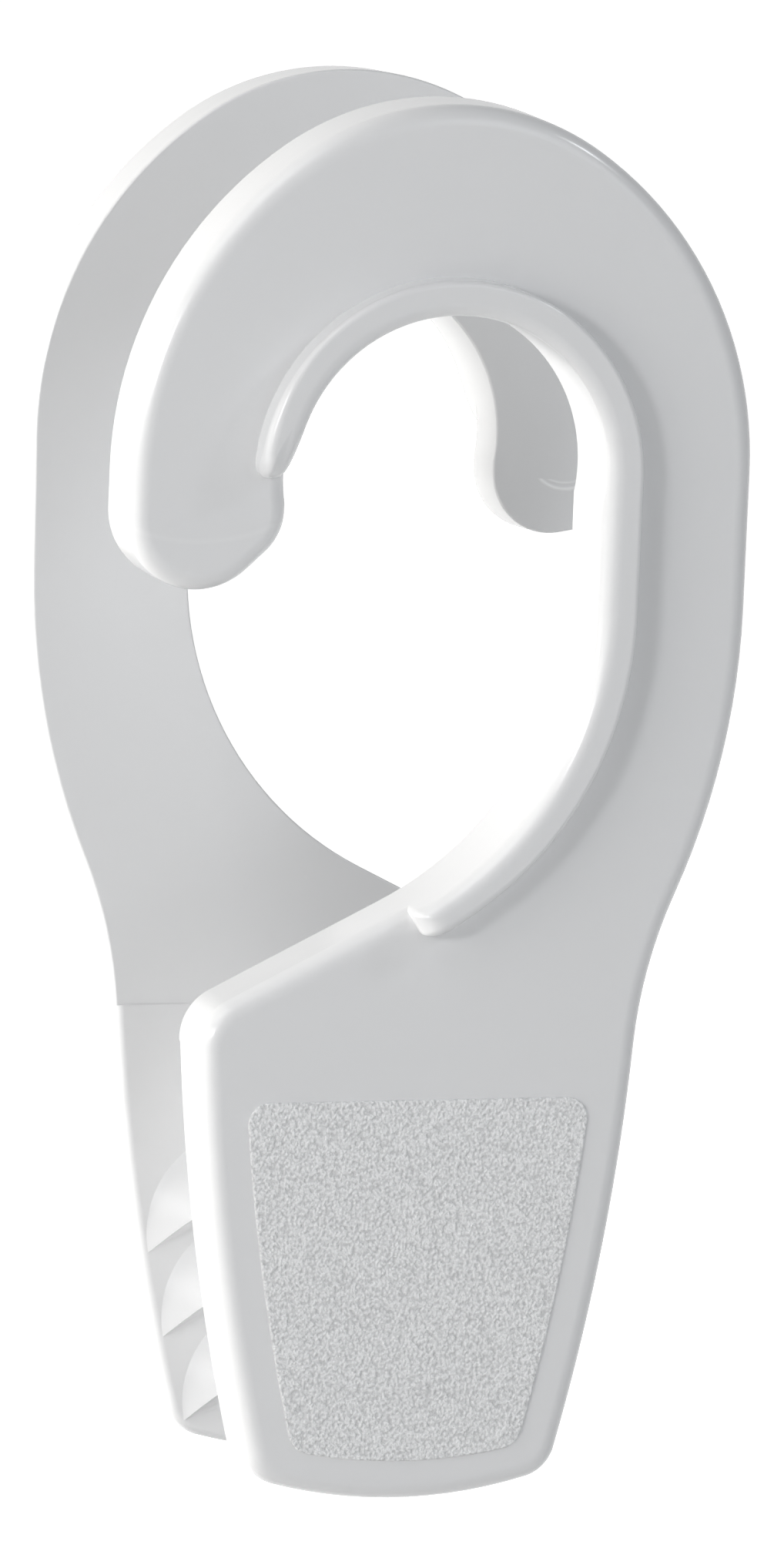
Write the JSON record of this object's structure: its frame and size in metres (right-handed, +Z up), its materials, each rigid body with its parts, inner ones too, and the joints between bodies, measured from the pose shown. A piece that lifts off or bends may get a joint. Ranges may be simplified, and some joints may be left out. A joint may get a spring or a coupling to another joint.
{
  "type": "fender hanger",
  "caption": "White plastic twist-on fender hanger: two hooked plates back to back on a web, hung over a boat's rail, with toothed jaws for the fender line.",
  "frame": {"origin": "centre of the rail seat, halfway between the two plates", "axes": "+Y along the rail, from the front plate to the back plate; +Z up, from the seat to the top of the hooks; +X to the right, seen from the front"},
  "size_m": [0.052, 0.0394, 0.1131],
  "materials": {
    "plastic": "gloss"
  },
  "bodies": {
    "root": {"hanger": "plastic"}
  },
  "joints": []
}
